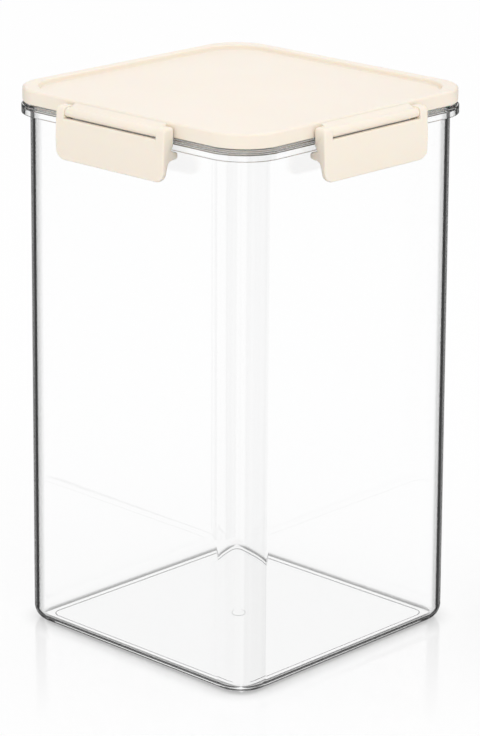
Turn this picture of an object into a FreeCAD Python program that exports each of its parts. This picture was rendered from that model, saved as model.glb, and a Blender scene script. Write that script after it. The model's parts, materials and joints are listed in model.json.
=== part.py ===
import FreeCAD, Part
import math
import os
import re
import Sketcher

# Square food storage canister with a clear body, a cream lid that lifts off, and
# four latches that hang on the lid and hook under the rim of the body.
#
# The frame has +Z up. Its origin is on the surface that the canister stands on,
# under the middle of the base. The sizes are in millimetres.

SIZES = [
    # Body
    ("body_side", 152.6, "outer width of the body at the mouth"),
    ("body_corner", 17.6, "outer radius of the body's upright corners at the mouth"),
    ("base_corner", 12.4, "outer radius of the same corners at the base"),
    ("mouth_height", 265.0, "height of the top of the rim"),
    ("wall", 2.25, "thickness of the body's walls"),
    ("floor_thickness", 3.0, "thickness of the body's floor over the foot"),
    ("draft_angle", 0.1, "lean of the body's walls, in degrees"),
    ("base_round", 8.0, "radius of the outer edge round the base"),
    ("foot_width", 4.0, "width of the flat ring that the base stands on"),
    ("foot_height", 0.6, "depth of the shallow hollow inside the foot"),
    ("foot_corner", 2.0, "radius of that hollow's corners"),
    ("gate_radius", 4.2, "radius of the moulding mark under the floor"),
    ("gate_height", 0.3, "height of the moulding mark"),
    # Rim
    ("rim_overhang", 4.3, "reach of the rim beyond the wall"),
    ("rim_thickness", 2.3, "thickness of the rim's top"),
    ("lip_height", 5.3, "height of the lip that the rim turns down into"),
    ("lip_thickness", 1.7, "thickness of that lip"),
    ("step_width", 1.0, "width of the step round the rim's top"),
    ("step_height", 1.0, "height of that step"),
    ("rim_chamfer", 0.4, "width of the chamfers on the rim's outer edges"),
    # Lid
    ("lid_inset", 0.6, "distance of the lid's wall inside the rim's outer face"),
    ("lid_height", 7.0, "height of the lid's outer wall"),
    ("lid_gap", 0.6, "gap between the lid's wall and the rim"),
    ("lid_wall", 2.0, "thickness of the lid's outer wall"),
    ("lid_chamfer", 0.9, "width of the chamfer round the lid's top"),
    ("border_width", 5.5, "width of the raised border round the panel"),
    ("panel_drop", 2.5, "depth of the panel below the border"),
    ("panel_corner", 22.0, "radius of the panel's corners"),
    ("panel_chamfer", 0.8, "width of the chamfer round the panel's hollow"),
    ("panel_thickness", 2.2, "thickness of the lid's panel"),
    ("border_roof", 4.2, "thickness of the border over the seal"),
    ("plug_depth", 3.0, "reach of the plug wall into the mouth"),
    ("plug_wall", 2.0, "thickness of the plug wall"),
    ("plug_clearance", 0.6, "gap between the plug wall and the mouth"),
    # Seal
    ("seal_clearance", 0.2, "gap at each side of the seal in its channel"),
    ("seal_gap", 0.1, "gap between the seal and the rim at rest"),
    ("seal_groove_width", 1.5, "width of the groove between the seal's two lips"),
    ("seal_groove_depth", 1.6, "depth of that groove"),
    # Hinge of a latch, on a bar along the lid's side
    ("hinge_reach", 4.6, "distance of the hinge axis outside the lid's wall"),
    ("hinge_drop", 4.6, "distance of the hinge axis below the lid's top"),
    ("bar_radius", 2.3, "radius of the hinge bar"),
    ("web_rise", 4.05, "height of the web's root above the axis, inside the lid's wall"),
    ("web_seat", 1.2, "distance inside the axis where the web meets the bar"),
    ("web_depth", 2.9, "thickness of the web at the lid"),
    ("pin_radius", 1.5, "radius of the pins at the bar's ends"),
    ("pin_length", 3.5, "reach of each pin beyond the bar"),
    ("pin_clearance", 0.08, "radial gap between a pin and its socket"),
    ("pin_end_gap", 0.4, "gap at the end of a pin in its socket"),
    # Latch, measured from its hinge axis
    ("latch_length", 71.8, "length of a latch along the lid's side"),
    ("latch_drop", 22.6, "distance from the axis down to the latch's lower edge"),
    ("latch_corner", 5.5, "radius of the lower corners"),
    ("latch_top_corner", 1.2, "radius of the upper corners"),
    ("ear_length", 5.4, "thickness of each ear along the axis"),
    ("ear_gap", 0.3, "gap between an ear and the bar's end"),
    ("ear_rise", 2.8, "height of the ears above the axis"),
    ("ear_front", 2.6, "reach of the ears outside the axis"),
    ("ear_back", 3.6, "reach of the ears inside the axis"),
    ("ear_round", 2.3, "radius of an ear's outer shoulder"),
    ("ear_heel_round", 1.0, "radius of an ear's inner shoulder"),
    ("heel_drop", 5.9, "drop of the ears' straight inner faces"),
    ("notch_reach", 2.1, "how far inside the axis the notch over the hook lies"),
    ("notch_drop", 8.2, "drop of the notch over the hook"),
    ("hook_reach", 6.4, "how far inside the axis the hook's nose lies"),
    ("hook_top_drop", 9.3, "drop of the hook's upper face at its nose"),
    ("hook_low_drop", 12.3, "drop of the hook's lower face at its nose"),
    ("hook_round", 1.45, "radius of the hook's nose"),
    ("hook_root_drop", 12.9, "drop of the hook's root"),
    ("hook_root_round", 2.5, "radius of the hollow under the hook"),
    ("crown_reach", 3.4, "reach of the plate's crown outside the axis"),
    ("crown_drop", 12.0, "drop of the plate's crown"),
    ("crown_round", 60.0, "radius of the plate's outer face at its crown"),
    ("plate_thickness", 4.0, "thickness of the plate under the hook"),
    ("toe_front", 3.2, "reach of the lower edge's outer side"),
    ("toe_back", 1.2, "reach of the lower edge's inner side"),
    ("toe_round", 0.9, "radius of the lower edge"),
    ("plate_drop", 2.8, "drop of the plate's top edge under the bar"),
    ("plate_back", 0.3, "how far outside the axis the plate's inner face lies"),
    ("plate_root_drop", 6.8, "drop where the plate meets the hook"),
    # Overrun of every cut past the face that it opens through
    ("overrun", 5.0, "overrun of the cuts"),
]

# Places that follow from the sizes, written in the sheet's own names
PLACES = [
    ("body_half", "body_side / 2"),
    ("mouth_half", "body_half - wall"),
    ("mouth_corner", "body_corner - wall"),
    ("base_half", "body_half - mouth_height * tan(draft_angle)"),
    ("foot_half", "base_half - base_round"),
    # Each upright corner is part of a cone, drawn in the upright plane through two corners
    ("cone_foot", "sqrt(2) * (base_half - base_corner)"),
    ("cone_lean", "atan((sqrt(2) * (body_half - body_corner) - cone_foot) / mouth_height)"),
    ("cone_growth", "(body_corner - base_corner) / mouth_height"),
    ("cone_angle", "asin(cone_growth * cos(draft_angle) * cos(cone_lean))"),
    ("cone_sector", "2 * asin(cos(draft_angle) / cos(cone_angle) / sqrt(2))"),
    ("rim_half", "body_half + rim_overhang"),
    ("rim_corner", "body_corner + rim_overhang"),
    ("rim_under", "mouth_height - rim_thickness"),
    ("lip_bottom", "mouth_height - lip_height"),
    ("lid_half", "rim_half - lid_inset"),
    ("lid_corner", "rim_corner - lid_inset"),
    ("lid_bottom", "mouth_height + lid_gap"),
    ("lid_top", "lid_bottom + lid_height"),
    ("panel_half", "lid_half - border_width"),
    ("panel_top", "lid_top - panel_drop"),
    ("panel_under", "panel_top - panel_thickness"),
    ("channel_top", "lid_top - border_roof"),
    ("channel_half", "lid_half - lid_wall"),
    ("channel_corner", "lid_corner - lid_wall"),
    ("plug_half", "mouth_half - plug_clearance"),
    ("plug_corner", "mouth_corner - plug_clearance"),
    ("plug_bottom", "mouth_height - plug_depth"),
    ("axis_out", "-lid_half - hinge_reach"),
    ("axis_up", "lid_top - hinge_drop"),
    ("latch_half", "latch_length / 2"),
    ("ear_inner", "latch_half - ear_length"),
    ("bar_half", "ear_inner - ear_gap"),
]


def fill_sheet(doc):
    """Writes each size in a row of its own, with its name as the cell's alias."""
    sheet = doc.addObject("Spreadsheet::Sheet", "sizes")
    row = 1
    for name, number, note in SIZES:
        sheet.set(f"A{row}", note)
        sheet.set(f"B{row}", str(number))
        sheet.setAlias(f"B{row}", name)
        row += 1
    doc.recompute()
    for name, formula in PLACES:
        sheet.set(f"A{row}", name.replace("_", " "))
        sheet.set(f"B{row}", "=" + formula)
        sheet.setAlias(f"B{row}", name)
        row += 1
        doc.recompute()
    return sheet


NAMES = [entry[0] for entry in SIZES] + [entry[0] for entry in PLACES]

# Two heights closer than this are the same one when edges are picked
TOLERANCE = 0.001

# The angle of the plane through two of the body's upright corners, in degrees
DIAGONAL = 45


def of_sheet(formula):
    """Puts the sheet's name before each of its values in a formula."""
    return re.sub("[a-z_]+", lambda word: "sizes." + word[0] if word[0] in NAMES else word[0], formula)


def number(doc, formula):
    """The present value of a formula."""
    value = doc.sizes.evalExpression(of_sheet(formula))
    return float(getattr(value, "Value", value))


def new_body(doc, name):
    body = doc.addObject("PartDesign::Body", name)
    body.Label = name
    return body


def origin_item(body, role):
    """One of the body's own planes or axes."""
    return next(item for item in body.Origin.OriginFeatures if item.Role == role)


def new_sketch(body, name, plane_role, height=None):
    """A sketch on one of the body's own planes, moved along the plane's normal."""
    sketch = body.newObject("Sketcher::SketchObject", name)
    sketch.AttachmentSupport = [(origin_item(body, plane_role), "")]
    sketch.MapMode = "FlatFace"
    if height:
        sketch.setExpression("AttachmentOffset.Base.z", of_sheet(height))
    return sketch


def pin_point(sketch, index, end, across, up):
    """Holds a point of the sketch at two formulas, measured from the sketch's origin."""
    for kind, formula in (("DistanceX", across), ("DistanceY", up)):
        value = number(sketch.Document, formula)
        if value < 0:
            place = sketch.addConstraint(Sketcher.Constraint(kind, index, end, -1, 1, -value))
            formula = f"-({formula})"
        else:
            place = sketch.addConstraint(Sketcher.Constraint(kind, -1, 1, index, end, value))
        sketch.setExpression(f"Constraints[{place}]", of_sheet(formula))


def draw_outline(sketch, corners):
    """A closed outline of straight sides between corners.

    Each corner is a formula across, a formula up and a formula for the radius that
    rounds it, or None where it is sharp. A rounded corner is an arc tangent to its
    two sides, and the corner itself stays in the sketch as a construction point.
    """
    doc = sketch.Document
    spots = [FreeCAD.Vector(number(doc, across), number(doc, up), 0) for across, up, _ in corners]
    radii = [number(doc, radius) if radius else 0 for _, _, radius in corners]
    count = len(corners)
    arrive, leave, arcs = [], [], []
    for place, spot in enumerate(spots):
        before = (spots[place - 1] - spot).normalize()
        after = (spots[(place + 1) % count] - spot).normalize()
        half_angle = before.getAngle(after) / 2
        trim = radii[place] / math.tan(half_angle)
        arrive.append(spot + before * trim)
        leave.append(spot + after * trim)
        turns_left = before.cross(after).z < 0
        if not radii[place]:
            arcs.append(None)
            continue
        centre = spot + (before + after).normalize() * (radii[place] / math.sin(half_angle))
        first, last = (arrive[-1], leave[-1]) if turns_left else (leave[-1], arrive[-1])
        circle = Part.Circle(centre, FreeCAD.Vector(0, 0, 1), radii[place])
        arc = Part.ArcOfCircle(circle, circle.parameter(first), circle.parameter(last))
        arcs.append((arc, turns_left))
    ends = arrive[1:] + arrive[:1]
    sides = [sketch.addGeometry(Part.LineSegment(leave[place], ends[place])) for place in range(count)]
    for place, (across, up, radius) in enumerate(corners):
        side_in, side_out = sides[place - 1], sides[place]
        if not radius:
            sketch.addConstraint(Sketcher.Constraint("Coincident", side_in, 2, side_out, 1))
            pin_point(sketch, side_out, 1, across, up)
            continue
        arc, turns_left = arcs[place]
        index = sketch.addGeometry(arc)
        start, end = (1, 2) if turns_left else (2, 1)
        sketch.addConstraint(Sketcher.Constraint("Tangent", side_in, 2, index, start))
        sketch.addConstraint(Sketcher.Constraint("Tangent", side_out, 1, index, end))
        size = sketch.addConstraint(Sketcher.Constraint("Radius", index, radii[place]))
        sketch.setExpression(f"Constraints[{size}]", of_sheet(radius))
        corner = sketch.addGeometry(Part.Point(spots[place]), True)
        pin_point(sketch, corner, 1, across, up)
        sketch.addConstraint(Sketcher.Constraint("PointOnObject", corner, 1, side_in))
        sketch.addConstraint(Sketcher.Constraint("PointOnObject", corner, 1, side_out))
    return sketch


def draw_square(sketch, half, radius):
    """A square outline with round corners, centred on the sketch's origin."""
    return draw_outline(sketch, [(f"-({half})", f"-({half})", radius), (half, f"-({half})", radius),
                                 (half, half, radius), (f"-({half})", half, radius)])


def draw_circle(sketch, radius, across=None, up=None):
    """A circle whose centre is at two formulas, or at the sketch's origin where none are given."""
    doc = sketch.Document
    centre = FreeCAD.Vector(number(doc, across), number(doc, up), 0) if across else FreeCAD.Vector()
    index = sketch.addGeometry(Part.Circle(centre, FreeCAD.Vector(0, 0, 1), number(doc, radius)))
    size = sketch.addConstraint(Sketcher.Constraint("Radius", index, number(doc, radius)))
    sketch.setExpression(f"Constraints[{size}]", of_sheet(radius))
    if across:
        pin_point(sketch, index, 3, across, up)
    else:
        sketch.addConstraint(Sketcher.Constraint("Coincident", index, 3, -1, 1))
    return sketch


def extrude(body, kind, name, sketch, length, symmetric=False, upward=False):
    """A Pad or Pocket of a sketch. A pocket cuts down from its sketch unless told to go upward."""
    sketch.Document.recompute()
    feature = body.newObject("PartDesign::" + kind, name)
    feature.Profile = sketch
    feature.setExpression("Length", of_sheet(length))
    if symmetric:
        feature.SideType = "Symmetric"
    feature.Reversed = upward == (kind == "Pocket")
    sketch.Visibility = False
    sketch.Document.recompute()
    return feature


def four_times(body, name, features):
    """A PolarPattern that repeats features on the body's four sides."""
    around = body.newObject("PartDesign::PolarPattern", name)
    around.Originals = features
    around.Axis = (origin_item(body, "Z_Axis"), [""])
    around.Angle = 360
    around.Occurrences = len(SIDES)
    body.Tip = around
    body.Document.recompute()
    return around


def ease_edges(body, kind, name, feature, size, picked):
    """A Fillet or Chamfer on the edges of a feature that a test picks."""
    edges = [f"Edge{place + 1}" for place, edge in enumerate(feature.Shape.Edges) if picked(edge)]
    eased = body.newObject("PartDesign::" + kind, name)
    eased.Base = (feature, edges)
    eased.setExpression("Radius" if kind == "Fillet" else "Size", of_sheet(size))
    body.Document.recompute()
    return eased


def at_height(height, least_half=0, most_half=math.inf):
    """A test for level edges at a height, between two distances from the middle."""
    def picked(edge):
        box = edge.BoundBox
        half = max(box.XMax, -box.XMin, box.YMax, -box.YMin)
        level = abs(box.ZMin - height) < TOLERANCE and abs(box.ZMax - height) < TOLERANCE
        return level and least_half < half < most_half
    return picked


def lean_walls(body, name, block):
    """A Draft that leans a block's four walls outward from where they stand at a height of zero."""
    walls = [f"Face{place + 1}" for place, face in enumerate(block.Shape.Faces)
             if abs(face.normalAt(0, 0).z) < TOLERANCE]
    leaning = body.newObject("PartDesign::Draft", name)
    leaning.Base = (block, walls)
    leaning.NeutralPlane = (origin_item(body, "XY_Plane"), [""])
    leaning.Reversed = True
    leaning.setExpression("Angle", of_sheet("draft_angle"))
    body.Document.recompute()
    return leaning


def round_corners(body, name, radius):
    """Cuts a leaning block's four upright corners to cones that touch its walls.

    The radius is the corner's at a height of zero. It grows with the height by the same amount on
    every block, so the cones of the outside and of the room share an axis, which leans inward.
    """
    sketch = new_sketch(body, name + "_outline", "XZ_Plane")
    upright = FreeCAD.Vector(0, 1, 0)
    sketch.AttachmentOffset = FreeCAD.Placement(FreeCAD.Vector(), FreeCAD.Rotation(upright, DIAGONAL))
    low, high = "-overrun", "mouth_height + overrun"
    axis_ends = [(f"cone_foot + ({height}) * tan(cone_lean)", height) for height in (low, high)]
    spots = [FreeCAD.Vector(number(body.Document, across), number(body.Document, up), 0)
             for across, up in axis_ends]
    axis = sketch.addGeometry(Part.LineSegment(*spots), True)
    for end, (across, up) in enumerate(axis_ends, 1):
        pin_point(sketch, axis, end, across, up)
    side_foot = f"cone_foot + ({radius}) * cos(draft_angle) / cos(cone_lean + cone_angle)"
    near = [f"{side_foot} + ({height}) * tan(cone_lean + cone_angle)" for height in (low, high)]
    far = "sqrt(2) * body_half + overrun"
    draw_outline(sketch, [(near[0], low, None), (far, low, None), (far, high, None), (near[1], high, None)])
    body.Document.recompute()
    groove = body.newObject("PartDesign::Groove", name)
    groove.Profile = sketch
    groove.ReferenceAxis = (sketch, ["Axis0"])
    groove.Midplane = True
    groove.setExpression("Angle", of_sheet("cone_sector"))
    sketch.Visibility = False
    body.Document.recompute()
    return four_times(body, name + "_all", [groove])


def leaning_block(body, half, radius, floor, edge_round):
    """A block from a floor up to the mouth, with leaning walls, round corners and a round lower edge.

    The half width and the corners' radius are those at a height of zero.
    """
    name = body.Name
    sketch = draw_square(new_sketch(body, name + "_outline", "XY_Plane", floor), half, None)
    block = extrude(body, "Pad", name + "_block", sketch, f"mouth_height - {floor}", upward=True)
    lean_walls(body, name + "_lean", block)
    rounded = round_corners(body, name + "_corner", radius)
    return ease_edges(body, "Fillet", name + "_edge", rounded, edge_round,
                      at_height(number(body.Document, floor)))


def make_body(doc):
    """The clear body: upright walls, a floor on a flat foot, and a rim that turns down into a lip."""
    body = new_body(doc, "canister_body")
    leaning_block(body, "base_half", "base_corner", "0", "base_round")

    sketch = new_sketch(body, "rim_outline", "XY_Plane", "rim_under")
    draw_square(sketch, "rim_half", "rim_corner")
    extrude(body, "Pad", "rim_plate", sketch, "rim_thickness", upward=True)
    sketch = new_sketch(body, "lip_outline", "XY_Plane", "lip_bottom")
    draw_square(sketch, "rim_half", "rim_corner")
    draw_square(sketch, "rim_half - lip_thickness", "rim_corner - lip_thickness")
    extrude(body, "Pad", "rim_lip", sketch, "lip_height - rim_thickness", upward=True)
    sketch = new_sketch(body, "step_outline", "XY_Plane", "mouth_height")
    draw_square(sketch, "rim_half + overrun", "rim_corner + overrun")
    draw_square(sketch, "rim_half - step_width", "rim_corner - step_width")
    step = extrude(body, "Pocket", "rim_step", sketch, "step_height")
    outermost = number(doc, "rim_half - rim_chamfer")
    step_edges = at_height(number(doc, "mouth_height - step_height"), outermost)
    low_edges = at_height(number(doc, "lip_bottom"), outermost)
    ease_edges(body, "Chamfer", "rim_edges", step, "rim_chamfer",
               lambda edge: step_edges(edge) or low_edges(edge))

    room = new_body(doc, "room")
    leaning_block(room, "base_half - wall", "base_corner - wall", "floor_thickness", "base_round - wall")
    hollow = body.newObject("PartDesign::Boolean", "room_cut")
    hollow.Type = "Cut"
    hollow.setObjects([room])
    doc.recompute()

    sketch = new_sketch(body, "foot_outline", "XY_Plane")
    draw_square(sketch, "foot_half - foot_width", "foot_corner")
    extrude(body, "Pocket", "foot_hollow", sketch, "foot_height", upward=True)
    sketch = new_sketch(body, "gate_outline", "XY_Plane", "foot_height - gate_height")
    draw_circle(sketch, "gate_radius")
    extrude(body, "Pad", "gate_mark", sketch, "gate_height", upward=True)
    return body


def make_lid(doc):
    """The lid: a bordered top with a sunk panel, a channel and plug wall below, and four hinge bars."""
    body = new_body(doc, "lid_cover")
    sketch = new_sketch(body, "lid_outline", "XY_Plane", "lid_bottom")
    draw_square(sketch, "lid_half", "lid_corner")
    block = extrude(body, "Pad", "lid_block", sketch, "lid_height", upward=True)
    ease_edges(body, "Chamfer", "lid_edge", block, "lid_chamfer", at_height(number(doc, "lid_top")))

    sketch = new_sketch(body, "panel_outline", "XY_Plane", "lid_top")
    draw_square(sketch, "panel_half", "panel_corner")
    hollow = extrude(body, "Pocket", "panel_hollow", sketch, "panel_drop")
    between = number(doc, "lid_half - border_width / 2")
    ease_edges(body, "Chamfer", "panel_edge", hollow, "panel_chamfer",
               at_height(number(doc, "lid_top"), 0, between))

    sketch = new_sketch(body, "channel_outline", "XY_Plane", "lid_bottom")
    draw_square(sketch, "channel_half", "channel_corner")
    draw_square(sketch, "plug_half", "plug_corner")
    extrude(body, "Pocket", "seal_channel", sketch, "channel_top - lid_bottom", upward=True)
    sketch = new_sketch(body, "under_outline", "XY_Plane", "lid_bottom")
    draw_square(sketch, "plug_half - plug_wall", "plug_corner - plug_wall")
    extrude(body, "Pocket", "under_hollow", sketch, "panel_under - lid_bottom", upward=True)
    sketch = new_sketch(body, "plug_outline", "XY_Plane", "plug_bottom")
    draw_square(sketch, "plug_half", "plug_corner")
    draw_square(sketch, "plug_half - plug_wall", "plug_corner - plug_wall")
    extrude(body, "Pad", "plug_wall_ring", sketch, "panel_under - plug_bottom", upward=True)

    sketch = new_sketch(body, "web_outline", "YZ_Plane")
    draw_outline(sketch, [("lid_wall / 2 - lid_half", "axis_up + web_rise - web_depth", None),
                          ("lid_wall / 2 - lid_half", "axis_up + web_rise", None),
                          ("axis_out + web_seat", "axis_up + sqrt(bar_radius ^ 2 - web_seat ^ 2)", None),
                          ("axis_out", "axis_up", None)])
    web = extrude(body, "Pad", "hinge_web", sketch, "bar_half * 2", symmetric=True, upward=True)
    sketch = draw_circle(new_sketch(body, "bar_outline", "YZ_Plane"), "bar_radius", "axis_out", "axis_up")
    bar = extrude(body, "Pad", "hinge_bar", sketch, "bar_half * 2", symmetric=True, upward=True)
    sketch = draw_circle(new_sketch(body, "pin_outline", "YZ_Plane"), "pin_radius", "axis_out", "axis_up")
    pins = extrude(body, "Pad", "hinge_pins", sketch, "(bar_half + pin_length) * 2", symmetric=True,
                   upward=True)
    four_times(body, "four_sides", [web, bar, pins])
    return body


def make_seal(doc):
    """The soft ring in the lid's channel, with two lips that press on the rim."""
    body = new_body(doc, "seal_ring")
    outer, inner = "channel_half - seal_clearance", "plug_half + seal_clearance"
    outer_round, inner_round = "channel_corner - seal_clearance", "plug_corner + seal_clearance"
    middle, middle_round = f"({outer} + {inner}) / 2", f"({outer_round} + {inner_round}) / 2"
    sketch = new_sketch(body, "seal_outline", "XY_Plane", "mouth_height + seal_gap")
    draw_square(sketch, outer, outer_round)
    draw_square(sketch, inner, inner_round)
    extrude(body, "Pad", "seal_block", sketch, "channel_top - mouth_height - seal_gap", upward=True)
    sketch = new_sketch(body, "groove_outline", "XY_Plane", "mouth_height + seal_gap")
    draw_square(sketch, f"{middle} + seal_groove_width / 2", f"{middle_round} + seal_groove_width / 2")
    draw_square(sketch, f"{middle} - seal_groove_width / 2", f"{middle_round} - seal_groove_width / 2")
    extrude(body, "Pocket", "seal_groove", sketch, "seal_groove_depth", upward=True)
    return body


def latch_spot(inward, drop, radius):
    """A corner of the latch's side view, given from the hinge axis inward and down."""
    return f"axis_out + {inward}", f"axis_up - ({drop})", radius


def make_latch(doc, name, quarter_turns):
    """A latch: two ears on the pins, a crowned plate, and a hook that runs along its back."""
    body = new_body(doc, name)
    sketch = new_sketch(body, name + "_side", "YZ_Plane")
    draw_outline(sketch, [
        latch_spot("(-ear_front)", "-ear_rise", "ear_round"),
        latch_spot("(-crown_reach)", "crown_drop", "crown_round"),
        latch_spot("(-toe_front)", "latch_drop", "toe_round"),
        latch_spot("(-toe_back)", "latch_drop", "toe_round"),
        latch_spot("(plate_thickness - crown_reach)", "hook_root_drop", "hook_root_round"),
        latch_spot("hook_reach", "hook_low_drop", "hook_round"),
        latch_spot("hook_reach", "hook_top_drop", "hook_round"),
        latch_spot("notch_reach", "notch_drop", None),
        latch_spot("ear_back", "heel_drop", None),
        latch_spot("ear_back", "-ear_rise", "ear_heel_round"),
    ])
    extrude(body, "Pad", name + "_block", sketch, "latch_length", symmetric=True, upward=True)

    sketch = new_sketch(body, name + "_room", "YZ_Plane")
    draw_outline(sketch, [
        latch_spot("(-plate_back)", "plate_root_drop", None),
        latch_spot("(hook_reach + overrun)", "plate_root_drop", None),
        latch_spot("(hook_reach + overrun)", "-ear_rise - overrun", None),
        latch_spot("(-crown_reach - overrun)", "-ear_rise - overrun", None),
        latch_spot("(-crown_reach - overrun)", "plate_drop", None),
        latch_spot("(-plate_back)", "plate_drop", None),
    ])
    extrude(body, "Pocket", name + "_bar_room", sketch, "ear_inner * 2", symmetric=True)
    sketch = draw_circle(new_sketch(body, name + "_socket", "YZ_Plane"), "pin_radius + pin_clearance",
                         "axis_out", "axis_up")
    reach = "bar_half + pin_length + pin_end_gap"
    extrude(body, "Pocket", name + "_sockets", sketch, f"({reach}) * 2", symmetric=True)

    sketch = new_sketch(body, name + "_front", "XZ_Plane")
    side, low, high = "latch_half", "axis_up - latch_drop", "axis_up + ear_rise"
    draw_outline(sketch, [(f"-{side}", low, "latch_corner"), (side, low, "latch_corner"),
                          (side, high, "latch_top_corner"), (f"-{side}", high, "latch_top_corner")])
    left, right = f"-{side} - overrun", f"{side} + overrun"
    under, over = f"{low} - overrun", f"{high} + overrun"
    draw_outline(sketch, [(left, under, None), (right, under, None), (right, over, None),
                          (left, over, None)])
    reach = "crown_reach + overrun - axis_out"
    extrude(body, "Pocket", name + "_corners", sketch, f"({reach}) * 2", symmetric=True)
    turn = FreeCAD.Rotation(FreeCAD.Vector(0, 0, 1), 90 * quarter_turns)
    body.Placement = FreeCAD.Placement(FreeCAD.Vector(), turn)
    doc.recompute()
    return body


# Each latch and the quarter turns that take it from the front to its side
SIDES = [("latch_front", 0), ("latch_right", 1), ("latch_back", 2), ("latch_left", 3)]


def check(doc, parts):
    """Stops before anything is written if a feature failed or a solid isn't sound."""
    failed = [item.Name for item in doc.Objects if {"Invalid", "Error"} & set(item.State)]
    if failed:
        raise RuntimeError(f"features that failed: {failed}")
    for part in parts:
        if part.Shape.isNull() or not part.Shape.isValid() or len(part.Shape.Solids) != 1:
            raise RuntimeError(f"{part.Label} isn't one sound solid")
        print(part.Label, round(part.Shape.Volume), "cubic mm")


def main():
    doc = FreeCAD.newDocument("canister")
    fill_sheet(doc)
    parts = [make_body(doc), make_lid(doc), make_seal(doc)]
    parts += [make_latch(doc, name, quarter_turns) for name, quarter_turns in SIDES]
    doc.recompute()
    check(doc, parts)
    os.makedirs("parts", exist_ok=True)
    for part in parts:
        part.Shape.exportStep(f"parts/{part.Label}.step")


main()
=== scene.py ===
# %% [markdown]
# # A clear storage canister with a latched lid
# The object is a tall square canister for dry food. It is moulded in clear plastic, and its cream lid
# is held down by four latches that hang on bars along the lid's sides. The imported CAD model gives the
# size and place of every piece. Here each piece gets its finish, and the pieces whose small edges
# catch the light are made again as fine surfaces worked out with numpy.

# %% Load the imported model
import json
import math

import bmesh
import bpy
import numpy as np
from mathutils import Matrix, Vector

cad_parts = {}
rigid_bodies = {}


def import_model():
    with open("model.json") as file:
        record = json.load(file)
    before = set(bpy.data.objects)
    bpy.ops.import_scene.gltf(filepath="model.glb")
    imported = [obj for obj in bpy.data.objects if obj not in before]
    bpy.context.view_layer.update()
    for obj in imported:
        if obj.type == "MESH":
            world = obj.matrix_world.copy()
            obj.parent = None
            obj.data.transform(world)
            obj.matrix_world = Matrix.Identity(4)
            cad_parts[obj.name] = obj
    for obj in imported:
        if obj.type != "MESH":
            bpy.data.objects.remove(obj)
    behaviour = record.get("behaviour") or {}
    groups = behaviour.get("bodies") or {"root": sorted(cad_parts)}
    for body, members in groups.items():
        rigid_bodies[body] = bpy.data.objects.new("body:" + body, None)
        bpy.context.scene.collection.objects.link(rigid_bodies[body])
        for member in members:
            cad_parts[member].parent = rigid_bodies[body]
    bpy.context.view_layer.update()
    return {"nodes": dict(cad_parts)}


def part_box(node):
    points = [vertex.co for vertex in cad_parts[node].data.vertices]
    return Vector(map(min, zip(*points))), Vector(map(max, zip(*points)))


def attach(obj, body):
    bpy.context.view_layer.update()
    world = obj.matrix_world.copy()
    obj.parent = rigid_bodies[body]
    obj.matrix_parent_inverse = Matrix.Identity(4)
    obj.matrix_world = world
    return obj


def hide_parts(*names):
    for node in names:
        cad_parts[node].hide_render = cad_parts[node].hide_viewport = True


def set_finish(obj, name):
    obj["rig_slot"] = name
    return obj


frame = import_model()
print("pieces in the frame:", sorted(frame["nodes"]))

# %% [markdown]
# ## The camera
# A product photo of a tall box is taken from well above with a long lens, so that its upright edges
# stay almost parallel. The place of such a camera is clearest as two angles and a distance from a
# point inside the object. Its axes are then worked out as three unit vectors, and a small roll turns
# two of them. The lens is long because the camera stands about one and a half metres away.

# %% Camera
MM = 0.001
CAMERA_AZIMUTH = math.radians(43.782)
CAMERA_ELEVATION = math.radians(17.393)
CAMERA_ROLL = math.radians(0.323)
CAMERA_DISTANCE = 1.5234
CAMERA_TARGET = Vector((0.62, 0, 130.85)) * MM
CAMERA_LENS = 151.49
CAMERA_CLIP = (0.05, 60.0)


def camera_axes(azimuth, elevation, roll):
    """The camera's right, up and back directions. Back points from the object to the camera.

    Back is (sin a * cos e, -cos a * cos e, sin e) for azimuth a and elevation e. Level is
    (cos a, sin a, 0), and the roll turns right away from level, about back.
    """
    back = Vector((math.sin(azimuth) * math.cos(elevation), -math.cos(azimuth) * math.cos(elevation),
                   math.sin(elevation)))
    level = Vector((math.cos(azimuth), math.sin(azimuth), 0))
    steep = back.cross(level)
    right = level * math.cos(roll) + steep * math.sin(roll)
    return right, back.cross(right), back


right, up, back = camera_axes(CAMERA_AZIMUTH, CAMERA_ELEVATION, CAMERA_ROLL)
camera_data = bpy.data.cameras.new("camera")
camera_data.lens = CAMERA_LENS
camera_data.sensor_fit = "AUTO"
camera_data.clip_start, camera_data.clip_end = CAMERA_CLIP
camera = bpy.data.objects.new("camera", camera_data)
camera.matrix_world = (Matrix.Translation(CAMERA_TARGET + back * CAMERA_DISTANCE)
                       @ Matrix((right, up, back)).transposed().to_4x4())
bpy.context.scene.collection.objects.link(camera)
bpy.context.scene.camera = camera
bpy.context.scene.view_settings.view_transform = "Standard"
print("camera at", [round(value, 3) for value in camera.location])

# %% [markdown]
# ## A line with round corners
# Moulded plastic has no sharp corner: every edge is a small arc that catches a highlight. So each
# cross-section here is a path of straight runs, and each of its corners has a radius. The path also
# knows the direction that faces out at each point, which makes smooth shading exact, and in clear
# plastic that matters, because light bends by these directions.

# %% Path with round corners
def left_of(direction):
    """The direction a quarter turn to the left: (x, y) becomes (-y, x)."""
    return np.array([-direction[1], direction[0]])


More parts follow.
